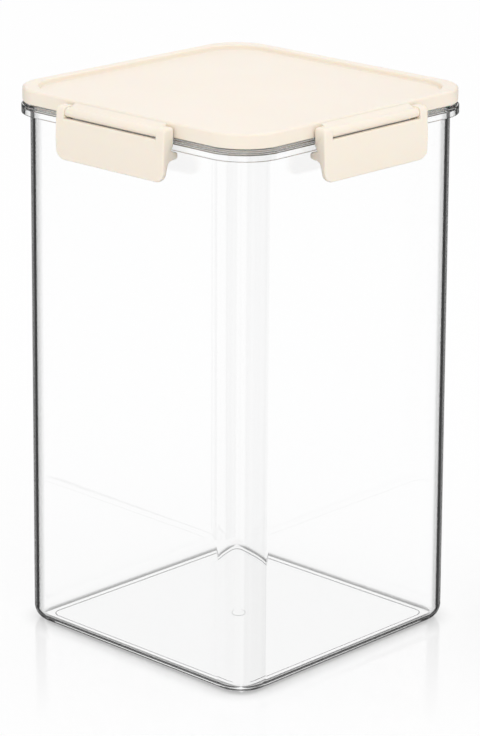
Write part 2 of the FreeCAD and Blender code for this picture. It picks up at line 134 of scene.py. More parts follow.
def eased_path(corners, steps, closed=False):
    """Points and outward normals along a path whose corners are arcs, and the corner each belongs to.

    A corner is (across, up, radius). The arc starts radius * tan(turn / 2) before the corner and
    turns at a steady rate. Outside is on the right of the direction of travel.
    """
    spots = np.array([corner[:2] for corner in corners], float)
    count = len(corners)
    points, normals, owner = [], [], []
    for place, (_, _, radius) in enumerate(corners):
        at_end = not closed and place in (0, count - 1)
        before = spots[place] - spots[place - 1]
        after = spots[(place + 1) % count] - spots[place]
        if at_end:
            along = after if place == 0 else before
            along = along / np.linalg.norm(along)
            points.append(spots[place][None])
            normals.append(-left_of(along)[None])
            owner.append(np.array([place]))
            continue
        before, after = before / np.linalg.norm(before), after / np.linalg.norm(after)
        turn = math.atan2(before[0] * after[1] - before[1] * after[0], before @ after)
        side = math.copysign(1, turn)
        start = spots[place] - before * radius * math.tan(abs(turn) / 2)
        centre = start + side * radius * left_of(before)
        angle = np.linspace(0, turn, steps + 1)
        out = np.stack([before[1] * np.cos(angle) + before[0] * np.sin(angle),
                        -before[0] * np.cos(angle) + before[1] * np.sin(angle)], 1)
        points.append(centre + side * radius * out)
        normals.append(out)
        owner.append(np.full(steps + 1, place))
    return np.concatenate(points), np.concatenate(normals), np.concatenate(owner)


test_points, _, _ = eased_path([(0, 0, 0), (1, 0, 0.2), (1, 1, 0)], steps=6)
print("a path with one round corner of six steps has", len(test_points), "points")

# %% [markdown]
# ## A profile carried round a square
# The canister, its lid and the seal all have the same plan: a square with round corners. Each can be
# made by carrying one cross-section round that square. Rings drawn this way are parallel, so the
# outward direction at any point is known exactly: it is the section's own normal, turned to face the
# way that the ring faces there.

# %% Rings round a square
CORNER_STEPS = 32
QUARTER = math.pi / 2


def square_rings(corners, steps, closed):
    """Points and normals of a section carried round a square with round corners, ring by ring.

    A corner of the section is (half width, height, edge radius, plan radius). A point of the surface
    is sign * (half - plan) + plan * (cos t, sin t), with t over each quarter and sign the quarter's
    own corner, and its normal is the section's normal with its level part along (cos t, sin t). On a
    rounded edge the plan radius grows with the half width, and lies between 0 and the half width.
    """
    path, out, owner = eased_path([corner[:3] for corner in corners], steps, closed)
    half, height = path[:, 0], path[:, 1]
    own = np.array([[corner[0], corner[3]] for corner in corners])[owner]
    plan = np.clip(own[:, 1] + half - own[:, 0], 0, np.maximum(half, 0))
    turned = np.repeat(np.arange(4), CORNER_STEPS + 1) * QUARTER
    angle = np.tile(np.linspace(0, QUARTER, CORNER_STEPS + 1), 4) + turned
    facing = np.stack([np.cos(angle), np.sin(angle)], 1)
    sign = np.sign(np.stack([np.cos(turned + QUARTER / 2), np.sin(turned + QUARTER / 2)], 1))
    level = (half - plan)[:, None, None] * sign + plan[:, None, None] * facing
    single = level.shape[:2] + (1,)
    points = np.concatenate([level, np.broadcast_to(height[:, None, None], single)], 2)
    normals = np.concatenate([out[:, :1, None] * facing, np.broadcast_to(out[:, 1:, None], single)], 2)
    return points, normals


print("each ring of such a surface has", 4 * (CORNER_STEPS + 1), "points")

# %% Surface from rings
def mesh_object(name, points, faces, normals=None):
    """A smooth-shaded object at the origin, with exact normals where they are given."""
    mesh = bpy.data.meshes.new(name)
    mesh.from_pydata(points, [], faces)
    mesh.update()
    mesh.shade_smooth()
    if normals is not None:
        mesh.normals_split_custom_set_from_vertices(normals)
    obj = bpy.data.objects.new(name, mesh)
    bpy.context.scene.collection.objects.link(obj)
    return obj


def strip_faces(rings, around):
    """The four-sided faces of a grid of rings, each closed on itself, as rows of point numbers."""
    ring, step = np.meshgrid(np.arange(rings - 1), np.arange(around), indexing="ij")
    ahead = (step + 1) % around
    return np.stack([ring * around + step, ring * around + ahead, (ring + 1) * around + ahead,
                     (ring + 1) * around + step], -1).reshape(-1, 4)


def square_sweep(name, corners, steps, closed=False):
    """A section carried round a square, as an object.

    A closed section's last ring joins its first. An open section starts and ends in the middle of
    the square, where its ring is a single point and a fan of triangles joins it to the next ring.
    """
    points, normals = square_rings(corners, steps, closed)
    rings, around = points.shape[:2]
    if closed:
        faces = strip_faces(rings + 1, around) % (rings * around)
        return mesh_object(name, points.reshape(-1, 3).tolist(), faces.tolist(),
                           normals.reshape(-1, 3).tolist())
    flat_points, flat_normals = (np.concatenate([rows[1:-1].reshape(-1, 3), rows[[0, -1], 0]])
                                 for rows in (points, normals))
    first, last = len(flat_points) - 2, len(flat_points) - 1
    step = np.arange(around)
    ahead = (step + 1) % around
    last_ring = (rings - 3) * around
    fans = [np.stack([np.full(around, first), ahead, step], 1),
            np.stack([last_ring + step, last_ring + ahead, np.full(around, last)], 1)]
    faces = strip_faces(rings - 2, around).tolist() + fans[0].tolist() + fans[1].tolist()
    return mesh_object(name, flat_points.tolist(), faces, flat_normals.tolist())


print("two rings of four points share", len(strip_faces(2, 4)), "faces")

# %% [markdown]
# ## The clear body
# The body is one moulding: a foot ring, a rounded base, tall walls, and a stepped rim that turns down
# into a lip for the latches. It is drawn as one closed section, from the middle of the underside, up
# the outside, over the rim and down the inside to the middle of the floor. A shell with a real
# thickness is what lets the renderer bend light in it, and the dark lines of clear plastic come from
# nothing else. The lines of the base depend on tenths of a millimetre, so this shell takes its base
# from the photo, where the walls spread by under a millimetre towards the foot. The CAD model's walls
# lean the other way by half of that, as a mould needs them to.

# %% Sizes of the body
_, LID_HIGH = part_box("lid_cover")
_, BODY_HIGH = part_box("canister_body")
MOUTH_HEIGHT = BODY_HIGH.z
RIM_HALF = BODY_HIGH.x
RIM_OVERHANG = 4.3 * MM
RIM_THICKNESS = 2.3 * MM
RIM_EDGE = 0.5 * MM
LIP_HEIGHT = 5.3 * MM
LIP_THICKNESS = 1.7 * MM
LIP_INNER_EDGE = 0.4 * MM
STEP_WIDTH = 1.0 * MM
STEP_HEIGHT = 1.0 * MM
STEP_FOOT_EDGE = 0.2 * MM
STEP_TOP_EDGE = 0.3 * MM
WALL = 2.25 * MM
FLOOR = 2.6 * MM
BODY_CORNER = 17.6 * MM
BASE_CORNER = 17.0 * MM
BASE_ROUND = 7.4 * MM
ROOM_ROUND = 4.2 * MM
FOOT_WIDTH = 4.0 * MM
FOOT_HEIGHT = 0.6 * MM
FOOT_CORNER = 6.0 * MM
FOOT_SLOPE = 0.3 * MM
FOOT_EDGE = 0.2 * MM
GATE_RADIUS = 4.2 * MM
GATE_HEIGHT = 0.3 * MM
GATE_SLOPE = 0.1 * MM
GATE_EDGE = 0.1 * MM
LEAN = math.tan(math.radians(-0.2))
BODY_ARC_STEPS = 14

body_half = RIM_HALF - RIM_OVERHANG
mouth_half = body_half - WALL
print("body", round(2 * body_half / MM, 1), "mm wide below the rim")


# %% Body
def body_corner(half, height, edge):
    """A corner of the body's section, whose plan runs parallel to the outer wall's at that height.

    The wall's own corner radius and half width change evenly from the base to the mouth.
    """
    wall_half = body_half - (MOUTH_HEIGHT - height) * LEAN
    wall_corner = BASE_CORNER + (BODY_CORNER - BASE_CORNER) * height / MOUTH_HEIGHT
    return half, height, edge, wall_corner + half - wall_half


def body_section():
    """The corners from the middle of the underside, up the outside and back to the middle inside."""
    base_half = body_half - MOUTH_HEIGHT * LEAN
    floor_half = mouth_half - (MOUTH_HEIGHT - FLOOR) * LEAN
    neck_half = body_half - RIM_THICKNESS * LEAN
    foot_inner = base_half - BASE_ROUND - FOOT_WIDTH
    gate_face = FOOT_HEIGHT - GATE_HEIGHT
    gate_outer = GATE_RADIUS + GATE_SLOPE
    return [
        (0, gate_face, 0, 0),
        (GATE_RADIUS, gate_face, GATE_EDGE, GATE_RADIUS),
        (gate_outer, FOOT_HEIGHT, GATE_EDGE, gate_outer),
        (foot_inner, FOOT_HEIGHT, FOOT_EDGE, FOOT_CORNER),
        (foot_inner + FOOT_SLOPE, 0, FOOT_EDGE, FOOT_CORNER + FOOT_SLOPE),
        body_corner(base_half, 0, BASE_ROUND),
        body_corner(neck_half, MOUTH_HEIGHT - RIM_THICKNESS, RIM_EDGE),
        body_corner(RIM_HALF - LIP_THICKNESS, MOUTH_HEIGHT - RIM_THICKNESS, LIP_INNER_EDGE),
        body_corner(RIM_HALF - LIP_THICKNESS, MOUTH_HEIGHT - LIP_HEIGHT, LIP_INNER_EDGE),
        body_corner(RIM_HALF, MOUTH_HEIGHT - LIP_HEIGHT, RIM_EDGE),
        body_corner(RIM_HALF, MOUTH_HEIGHT - STEP_HEIGHT, RIM_EDGE),
        body_corner(RIM_HALF - STEP_WIDTH, MOUTH_HEIGHT - STEP_HEIGHT, STEP_FOOT_EDGE),
        body_corner(RIM_HALF - STEP_WIDTH, MOUTH_HEIGHT, STEP_TOP_EDGE),
        body_corner(mouth_half, MOUTH_HEIGHT, RIM_EDGE),
        body_corner(floor_half, FLOOR, ROOM_ROUND),
        (0, FLOOR, 0, 0),
    ]


body_shell = square_sweep("body_shell", body_section(), BODY_ARC_STEPS)
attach(body_shell, "canister")
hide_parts("canister_body")
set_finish(body_shell, "clear_plastic")
print("body", len(body_shell.data.vertices), "points, walls of", round(WALL / MM, 2), "mm")

# %% [markdown]
# ## The lid
# The lid is a shallow cap. Its raised border runs round a sunk panel, and below the border a channel
# for the seal lies between the outer wall and a plug wall that drops into the mouth. The same sweep
# makes it, because its plan is the same rounded square. The panel's corners are rounder than the
# border's, so the plan radius changes across the flat top.

# %% Sizes of the lid
LID_TOP = LID_HIGH.z
LID_INSET = 0.6 * MM
LID_GAP = 0.6 * MM
LID_WALL = 2.0 * MM
LID_LOW_EDGE = 0.4 * MM
LID_TOP_EDGE = 1.2 * MM
BORDER_WIDTH = 5.5 * MM
BORDER_ROOF = 4.2 * MM
BORDER_EDGE = 1.0 * MM
PANEL_DROP = 2.5 * MM
PANEL_CORNER = 22.0 * MM
PANEL_THICKNESS = 2.2 * MM
PANEL_EDGE = 0.8 * MM
CHANNEL_EDGE = 0.3 * MM
PLUG_CLEARANCE = 0.6 * MM
PLUG_DEPTH = 3.0 * MM
PLUG_WALL = 2.0 * MM
PLUG_EDGE = 0.5 * MM
LID_ARC_STEPS = 8

lid_half = RIM_HALF - LID_INSET
lid_bottom = MOUTH_HEIGHT + LID_GAP
plug_half = mouth_half - PLUG_CLEARANCE
print("lid", round(2 * lid_half / MM, 1), "mm wide")


# %% Lid
def lid_corner(half, height, edge):
    """A corner of the lid's section, whose plan runs parallel to the rim's."""
    return half, height, edge, max(BODY_CORNER + half - body_half, 0)


def lid_section():
    """The corners from the middle of the underside, round the plug and the border, to the panel."""
    panel_half = lid_half - BORDER_WIDTH
    panel_top = LID_TOP - PANEL_DROP
    return [
        (0, panel_top - PANEL_THICKNESS, 0, 0),
        lid_corner(plug_half - PLUG_WALL, panel_top - PANEL_THICKNESS, PLUG_EDGE),
        lid_corner(plug_half - PLUG_WALL, MOUTH_HEIGHT - PLUG_DEPTH, PLUG_EDGE),
        lid_corner(plug_half, MOUTH_HEIGHT - PLUG_DEPTH, PLUG_EDGE),
        lid_corner(plug_half, LID_TOP - BORDER_ROOF, CHANNEL_EDGE),
        lid_corner(lid_half - LID_WALL, LID_TOP - BORDER_ROOF, CHANNEL_EDGE),
        lid_corner(lid_half - LID_WALL, lid_bottom, CHANNEL_EDGE),
        lid_corner(lid_half, lid_bottom, LID_LOW_EDGE),
        lid_corner(lid_half, LID_TOP, LID_TOP_EDGE),
        (panel_half, LID_TOP, BORDER_EDGE, PANEL_CORNER),
        (panel_half, panel_top, PANEL_EDGE, PANEL_CORNER),
        (0, panel_top, 0, 0),
    ]


lid_shell = square_sweep("lid_shell", lid_section(), LID_ARC_STEPS)
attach(lid_shell, "lid")
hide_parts("lid_cover")
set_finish(lid_shell, "cream_plastic")
print("lid from", round(lid_bottom, 4), "to", round(LID_TOP, 4), "m")

# %% [markdown]
# ## The seal
# A soft ring fills the channel in the lid. Its underside has a groove, which leaves two thin lips to
# press on the rim. Its section doesn't reach the middle, so the sweep closes it on itself.

# %% Seal
SEAL_CLEARANCE = 0.2 * MM
SEAL_GAP = 0.1 * MM
SEAL_GROOVE_WIDTH = 1.5 * MM
SEAL_GROOVE_DEPTH = 1.6 * MM
SEAL_LIP_EDGE = 0.4 * MM
SEAL_BACK_EDGE = 0.2 * MM
SEAL_ARC_STEPS = 4


def seal_section():
    """The corners along the underside with its groove, from inside to outside, and back on top."""
    outer, inner = lid_half - LID_WALL - SEAL_CLEARANCE, plug_half + SEAL_CLEARANCE
    low, high = MOUTH_HEIGHT + SEAL_GAP, LID_TOP - BORDER_ROOF
    groove = [(outer + inner) / 2 + side * SEAL_GROOVE_WIDTH / 2 for side in (-1, 1)]
    underside = [(inner, low), (groove[0], low), (groove[0], low + SEAL_GROOVE_DEPTH),
                 (groove[1], low + SEAL_GROOVE_DEPTH), (groove[1], low), (outer, low)]
    return ([lid_corner(half, height, SEAL_LIP_EDGE) for half, height in underside]
            + [lid_corner(half, high, SEAL_BACK_EDGE) for half in (outer, inner)])


seal = square_sweep("seal_lips", seal_section(), SEAL_ARC_STEPS, closed=True)
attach(seal, "lid")
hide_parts("seal_ring")
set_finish(seal, "silicone")
print("seal", len(seal.data.vertices), "points")

# %% [markdown]
# ## Slices along a line
# The hinge bars and the latches are long pieces whose section changes near their ends. Each is made
# as a stack of slices: the same closed outline, placed at several stations along the lid's side, a
# little smaller at the last ones so that the end has a rounded edge. The stack is closed with a flat
# face at each end. Where two slices share points, as on both sides of a step, those are merged.

# %% Stack of slices
SHARP_ANGLE = math.radians(38)
MERGE_DISTANCE = 0.002 * MM
SIDES = ["front", "right", "back", "left"]
HINGE_REACH = 4.6 * MM
HINGE_DROP = 4.6 * MM

hinge_out = lid_half + HINGE_REACH
hinge_up = LID_TOP - HINGE_DROP


def stacked(name, slices, quarter_turns):
    """A closed solid through slices of points (along, out, up), out and up being from the hinge axis.

    On the front side along is +X and out is -Y. Each quarter turn takes (x, y) to (-y, x).
    """
    count, around = slices.shape[:2]
    x, y, z = slices[..., 0], -(slices[..., 1] + hinge_out), slices[..., 2] + hinge_up
    for _ in range(quarter_turns):
        x, y = -y, x
    points = np.stack([x, y, z], -1).reshape(-1, 3)
    faces = strip_faces(count, around).tolist()
    faces += [list(range(around)), list(range((count - 1) * around, count * around))]
    obj = mesh_object(name, points.tolist(), faces)
    shape = bmesh.new()
    shape.from_mesh(obj.data)
    bmesh.ops.remove_doubles(shape, verts=shape.verts, dist=MERGE_DISTANCE)
    bmesh.ops.dissolve_degenerate(shape, edges=shape.edges, dist=MERGE_DISTANCE)
    bmesh.ops.recalc_face_normals(shape, faces=shape.faces)
    shape.to_mesh(obj.data)
    shape.free()
    obj.data.shade_smooth()
    obj.data.set_sharp_from_angle(angle=SHARP_ANGLE)
    return obj


print("hinge axis", round(hinge_out, 4), "m out and", round(hinge_up, 4), "m up")

# %% Rounded ends
END_STEPS = 5


def rounding(distance, radius):
    """How far a rounded end draws in at a distance from the end: r - sqrt(r^2 - (r - d)^2)."""
    inside = np.clip(radius - distance, 0, radius)
    return radius - np.sqrt(radius ** 2 - inside ** 2)


def end_stations(radius, steps=END_STEPS):
    """Distances from an end at which it is drawn: r * (1 - cos t), with t over a quarter circle."""
    return radius * (1 - np.cos(np.linspace(0, QUARTER, steps + 1)))


def both_ends(half, edge):
    """Stations from one rounded end of a piece to the other, and how far each is drawn in."""
    distance = end_stations(edge)
    along, inset = half - distance, rounding(distance, edge)
    return np.concatenate([along, -along[::-1]]), np.concatenate([inset, inset[::-1]])


def placed(along, sections):
    """Sections of (out, up) points, each with its place along the piece set before them."""
    places = np.broadcast_to(along[:, None, None], sections.shape[:2] + (1,))
    return np.concatenate([places, sections], 2)


print("an end of radius 1 draws in by", rounding(end_stations(1.0), 1.0).round(3))

# %% [markdown]
# ## The hinge bars
# Each side of the lid carries a round bar on a thin web, moulded with the lid, and a short pin stands
# out of each end of the bar. The latch hangs on the pins. The web meets the bar in a sharp groove,
# which shows as a thin dark line, so the bar is drawn as most of a circle and the web as two lines.

# %% Hinge bars
LATCH_LENGTH = 71.8 * MM
EAR_LENGTH = 5.4 * MM
EAR_GAP = 0.3 * MM
BAR_RADIUS = 2.3 * MM
BAR_EDGE = 0.3 * MM
BAR_POINTS = 48
BAR_START = math.radians(168.4)
BAR_END = math.radians(481.4)
WEB_RISE = 4.05 * MM
WEB_DEPTH = 2.9 * MM
WEB_REACH = 5.6 * MM
PIN_RADIUS = 1.5 * MM
PIN_LENGTH = 3.5 * MM
PIN_EDGE = 0.35 * MM
PIN_POINTS = 32

bar_half = LATCH_LENGTH / 2 - EAR_LENGTH - EAR_GAP


def circle_of(angle):
    """The points (cos t, sin t) of a circle of radius 1 at the given angles."""
    return np.stack([np.cos(angle), np.sin(angle)], 1)


def bar_slices():
    """An arc from the web's lower line round to its upper line, and the web's two inner corners."""
    circle = circle_of(np.linspace(BAR_START, BAR_END, BAR_POINTS))
    root = np.array([[-WEB_REACH, WEB_RISE], [-WEB_REACH, WEB_RISE - WEB_DEPTH]])
    outline = np.concatenate([BAR_RADIUS * circle, root])
    out = np.concatenate([circle, np.zeros((2, 2))])
    along, inset = both_ends(bar_half, BAR_EDGE)
    return placed(along, outline - inset[:, None, None] * out)


def pin_slices():
    """A circle of the pin's radius less what its rounded ends draw in."""
    circle = circle_of(np.linspace(0, 2 * math.pi, PIN_POINTS, endpoint=False))
    along, inset = both_ends(bar_half + PIN_LENGTH, PIN_EDGE)
    return placed(along, (PIN_RADIUS - inset)[:, None, None] * circle)


for turns, side in enumerate(SIDES):
    for part, slices in (("hinge_bar", bar_slices()), ("hinge_pins", pin_slices())):
        piece = stacked(f"{part}_{side}", slices, turns)
        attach(piece, "lid")
        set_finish(piece, "cream_plastic")
print("bar", round(2 * bar_half / MM, 1), "mm long, pins reach", round(PIN_LENGTH / MM, 1), "mm further")

# %% [markdown]
# ## The latches
# A latch is a plate with an ear at each end. The ears hold the pins, the gap between them leaves room
# for the bar, and a hook along the back of the plate catches the lip of the canister's rim. From the
# side it has two outlines: one through an ear, and one through the plate between the ears. They share
# the lower part, point for point, so the stack can change from one to the other in a single step.
# Near the ends the lower edge is drawn up along a quarter circle, which rounds the lower corners.

# %% Outlines of a latch
# These sizes are in millimetres from the hinge axis. A corner is (out, up, radius).
EAR_FRONT, EAR_BACK, EAR_RISE = 2.6, 3.6, 2.8
EAR_TOP_ROUND, EAR_BACK_ROUND, HEEL_ROUND = 2.3, 1.0, 0.5
PLATE_DROP, PLATE_ROOT_DROP, PLATE_BACK = 2.8, 6.8, 0.3
PLATE_EDGE = 0.4
HEEL_DROP = 5.9
TOE_DROP = 22.6
CROWN = (3.4, -12.0, 60.0)
NOTCH = (-2.1, -8.2, 0.35)
HOOK_TOP, HOOK_LOW, HOOK_ROOT = (-6.4, -9.3, 1.45), (-6.4, -12.3, 1.45), (-0.6, -12.9, 2.5)
TOE_BACK, TOE_FRONT = (1.2, -TOE_DROP, 0.9), (3.2, -TOE_DROP, 0.9)
LATCH_ARC_STEPS = 8


def on_line(first, second, height):
    """The point at a height on the line between two corners."""
    share = (height - first[1]) / (second[1] - first[1])
    return first[0] + (second[0] - first[0]) * share, height


def latch_outlines():
    """The ear's outline and the plate's, in metres, with normals, and how many points they share."""
    ear_top = (EAR_FRONT, EAR_RISE)
    heel = (-EAR_BACK, -HEEL_DROP)
    plate_edge = on_line(ear_top, CROWN, -PLATE_DROP)
    face = on_line(ear_top, CROWN, -PLATE_DROP - 2 * PLATE_EDGE)
    root = on_line(heel, NOTCH, -PLATE_ROOT_DROP)
    shared = [(*root, 0), NOTCH, HOOK_TOP, HOOK_LOW, HOOK_ROOT, TOE_BACK, TOE_FRONT, CROWN, (*face, 0)]
    ear = [(*face, 0), (*ear_top, EAR_TOP_ROUND), (-EAR_BACK, EAR_RISE, EAR_BACK_ROUND),
           (*heel, HEEL_ROUND), (*root, 0)]
    plate = [(*face, 0), (*plate_edge, PLATE_EDGE), (PLATE_BACK, -PLATE_DROP, PLATE_EDGE),
             (PLATE_BACK, -PLATE_ROOT_DROP, PLATE_EDGE), (*root, 0)]
    low, low_out, _ = eased_path(shared, LATCH_ARC_STEPS)
    loops = []
    for upper in (ear, plate):
        high, high_out, _ = eased_path(upper, LATCH_ARC_STEPS)
        loops.append((np.concatenate([low, high[1:-1]]) * MM, np.concatenate([low_out, high_out[1:-1]])))
    return loops, len(low)


print("the latch's two outlines share", latch_outlines()[1], "points")

# %% Latches
LATCH_CORNER = 5.5 * MM
LATCH_TOP_CORNER = 1.2 * MM
LATCH_EDGE = 0.9 * MM
EAR_EDGE = 0.35 * MM
LATCH_CORNER_STEPS = 10
EAR_EDGE_STEPS = 4
STATION_DIGITS = 7


def ear_stations():
    """Distances from a latch's end at which an ear is drawn, each once, closest near its two edges."""
    near_end = np.concatenate([end_stations(LATCH_EDGE), end_stations(LATCH_TOP_CORNER),
                               end_stations(LATCH_CORNER, LATCH_CORNER_STEPS)])
    near_gap = EAR_LENGTH - end_stations(EAR_EDGE, EAR_EDGE_STEPS)
    every = np.concatenate([near_end[near_end < EAR_LENGTH - EAR_EDGE], near_gap])
    return np.unique(every.round(STATION_DIGITS))


def latch_slices():
    """Slices of the ear's outline, then of the plate's, then of the ear's again.

    A height below the hook is lifted by a share of the corner's rounding, and a height above the axis
    is lowered by a share of the upper corner's.
    """
    ((ear, ear_out), (plate, _)), shared = latch_outlines()
    distance = ear_stations()
    gap_inset = rounding(EAR_LENGTH - distance, EAR_EDGE)[:, None] * (np.arange(len(ear)) >= shared)
    inset = rounding(distance, LATCH_EDGE)[:, None] + gap_inset
    section = ear - inset[..., None] * ear_out
    hook_low, toe = HOOK_ROOT[1] * MM, -TOE_DROP * MM
    lower_share = np.clip((section[..., 1] - hook_low) / (toe - hook_low), 0, 1)
    upper_share = np.clip(section[..., 1] / (EAR_RISE * MM), 0, 1)
    section[..., 1] += lower_share * rounding(distance, LATCH_CORNER)[:, None]
    section[..., 1] -= upper_share * rounding(distance, LATCH_TOP_CORNER)[:, None]
    gap_end = LATCH_LENGTH / 2 - EAR_LENGTH
    first = placed(LATCH_LENGTH / 2 - distance, section)
    middle = placed(np.array([gap_end, -gap_end]), np.stack([plate, plate]))
    last = first[::-1] * (-1, 1, 1)
    return np.concatenate([first, middle, last])


for turns, side in enumerate(SIDES):
    latch = stacked(f"latch_plate_{side}", latch_slices(), turns)
    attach(latch, f"{side}_latch")
    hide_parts(f"latch_{side}")
    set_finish(latch, "latch_plastic")
print("latch", len(latch.data.vertices), "points")

# %% [markdown]
# ## Building node trees
# A finish in Blender is a tree of nodes, and its numbers and links are easiest to read when each node
# is made in one line. So one helper makes a node, sets its options and fills its inputs, each with a
# plain value or with the output of another node. A few more name what is used again and again: a sum,
# a mix of two values, a mix of two shaders, and a value taken from one range to another.

# %% Node helpers
def add_node(tree, kind, inputs=None, **options):
    """A node with its options set, and each input given a value or linked to another node's output."""
    node = tree.nodes.new(kind)
    for name, value in options.items():
        setattr(node, name, value)
    for name, value in (inputs or {}).items():
        if isinstance(value, bpy.types.NodeSocket):
            tree.links.new(value, node.inputs[name])
        else:
            node.inputs[name].default_value = value
    return node


def tree_math(tree, operation, *values):
    """The result of a maths node, from numbers or outputs."""
    return add_node(tree, "ShaderNodeMath", dict(enumerate(values)), operation=operation).outputs["Value"]


def mixed(tree, share, first, second, kind="RGBA"):
    """(1 - share) * first + share * second, for two colours or two numbers."""
    values = {"Factor": share, "A": first, "B": second}
    return add_node(tree, "ShaderNodeMix", values, data_type=kind).outputs["Result"]


def mixed_shaders(tree, share, first, second):
    """The first shader where the share is 0, the second where it is 1, and both in between."""
    return add_node(tree, "ShaderNodeMixShader", {0: share, 1: first, 2: second}).outputs["Shader"]


def ranged(tree, value, source=(0.0, 1.0), target=(0.0, 1.0), kind="SMOOTHSTEP"):
    """A value taken from one range to another, in a soft or a straight run, and held at both ends."""
    values = {"Value": value, "From Min": source[0], "From Max": source[1], "To Min": target[0],
              "To Max": target[1]}
    return add_node(tree, "ShaderNodeMapRange", values, interpolation_type=kind).outputs["Result"]


def empty_material(name):
    """A material without any node, and its node tree."""
    material = bpy.data.materials.new(name)
    material.use_nodes = True
    material.node_tree.nodes.clear()
    return material, material.node_tree


def linear(red, green, blue):
    """A colour given as it looks on screen, from 0 to 255, turned into light.

    The screen's curve is a straight line near black, and a power of 2.4 above it.
    """
    share = np.array([red, green, blue]) / 255
    light = np.where(share <= 0.04045, share / 12.92, ((share + 0.055) / 1.055) ** 2.4)
    return (*light.tolist(), 1.0)


print("a middle grey on screen is", round(linear(128, 128, 128)[0], 3), "in light")

# %% [markdown]
# ## Shared finish of the moulded pieces
# Moulded plastic isn't a flat colour. It has a very fine grain from the polished steel of its mould,
# slow changes of gloss where the melt cooled at different rates, and a faintly uneven tint. The lid,
# the latches and the seal all have these, so they are one node group, which gives a colour, a
# roughness and a normal from the piece's own coordinates. Each material gives it its own values.

# %% Moulded finish
FLOW_SCALE = 22.0
FLOW_DETAIL = 3.0
GRAIN_DETAIL = 2.0
GRAIN_HEIGHT = 0.1 * MM
FINISH_INPUTS = {"Tint": "NodeSocketColor", "Shade": "NodeSocketColor", "Gloss low": "NodeSocketFloat",
                 "Gloss high": "NodeSocketFloat", "Grain size": "NodeSocketFloat",
                 "Grain depth": "NodeSocketFloat"}
FINISH_OUTPUTS = {"Color": "NodeSocketColor", "Roughness": "NodeSocketFloat", "Normal": "NodeSocketVector"}


def moulded_group():
    """One slow noise mixes the two tints and the two glosses, and one fine noise gives the grain."""
    group = bpy.data.node_groups.new("moulded_finish", "ShaderNodeTree")
    for way, sockets in (("INPUT", FINISH_INPUTS), ("OUTPUT", FINISH_OUTPUTS)):
        for name, kind in sockets.items():
            group.interface.new_socket(name=name, in_out=way, socket_type=kind)
    given = add_node(group, "NodeGroupInput").outputs
    place = add_node(group, "ShaderNodeTexCoord").outputs["Object"]
    flow = add_node(group, "ShaderNodeTexNoise", {"Vector": place, "Scale": FLOW_SCALE,
                                                  "Detail": FLOW_DETAIL}).outputs["Fac"]
    density = tree_math(group, "DIVIDE", 1.0, given["Grain size"])
    grain = add_node(group, "ShaderNodeTexNoise", {"Vector": place, "Scale": density,
                                                   "Detail": GRAIN_DETAIL}).outputs["Fac"]
    bump = add_node(group, "ShaderNodeBump", {"Strength": given["Grain depth"], "Distance": GRAIN_HEIGHT,
                                              "Height": grain})
    gloss = ranged(group, flow, target=(given["Gloss low"], given["Gloss high"]), kind="LINEAR")
    add_node(group, "NodeGroupOutput", {"Color": mixed(group, flow, given["Tint"], given["Shade"]),
                                        "Roughness": gloss, "Normal": bump.outputs["Normal"]})
    return group


MOULDED = moulded_group()
print("moulded finish gives", [socket.name for socket in MOULDED.interface.items_tree
                               if socket.in_out == "OUTPUT"])

# %% [markdown]
# ## Cream plastic and the soft seal
# The lid and latches are a warm cream, satin rather than glossy, so that highlights are wide and weak.
# The seal is a milky silicone, duller than the lid and with a little light passing through it.

# %% Cream plastic and seal
CREAM_TINTS = ((250, 240, 227), (248, 237, 223))
CREAM_GLOSS = (0.36, 0.44)
CREAM_GRAIN = (0.5 * MM, 0.10)
CREAM_DEPTH = {"Subsurface Weight": 0.3, "Subsurface Radius": (1.0, 0.6, 0.35),
               "Subsurface Scale": 1.5 * MM}
SEAL_TINTS = ((238, 238, 236), (232, 232, 230))
SEAL_GLOSS = (0.5, 0.6)
SEAL_GRAIN = (0.4 * MM, 0.08)
SEAL_DEPTH = {"Subsurface Weight": 0.3, "Subsurface Scale": 1.0 * MM}


def moulded_material(name, tints, gloss, grain, depth):
    """A material with the moulded finish's colour, roughness and normal, and light let in by depth."""
    material, tree = empty_material(name)
    values = {"Tint": linear(*tints[0]), "Shade": linear(*tints[1]), "Gloss low": gloss[0],
              "Gloss high": gloss[1], "Grain size": grain[0], "Grain depth": grain[1]}
    finish = add_node(tree, "ShaderNodeGroup", values, node_tree=MOULDED).outputs
    looks = {"Base Color": finish["Color"], "Roughness": finish["Roughness"], "Normal": finish["Normal"]}
    shader = add_node(tree, "ShaderNodeBsdfPrincipled", {**looks, **depth})
    add_node(tree, "ShaderNodeOutputMaterial", {"Surface": shader.outputs["BSDF"]})
    return material


cream = moulded_material("cream_satin", CREAM_TINTS, CREAM_GLOSS, CREAM_GRAIN, CREAM_DEPTH)
silicone = moulded_material("milky_silicone", SEAL_TINTS, SEAL_GLOSS, SEAL_GRAIN, SEAL_DEPTH)
finish_of = {"cream_plastic": cream, "latch_plastic": cream, "silicone": silicone}
for obj in bpy.data.objects:
    if obj.get("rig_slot") in finish_of:
        obj.data.materials.append(finish_of[obj["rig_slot"]])

# %% [markdown]
# ## Clear plastic
# The body is a clear plastic with a refractive index of 1.5, about that of window glass. Its surface is
# polished, and the plain transmission of the main shader bends light through the real thickness of the
# wall. Only its tint changes, by a hair, as it does where moulded clear plastic flowed and cooled.

# %% Clear plastic
CLEAR_TINTS = ((1.0, 1.0, 1.0, 1), (0.994, 0.996, 0.996, 1))
CLEAR_FLOW_SCALE = 9.0
CLEAR_INDEX = 1.5

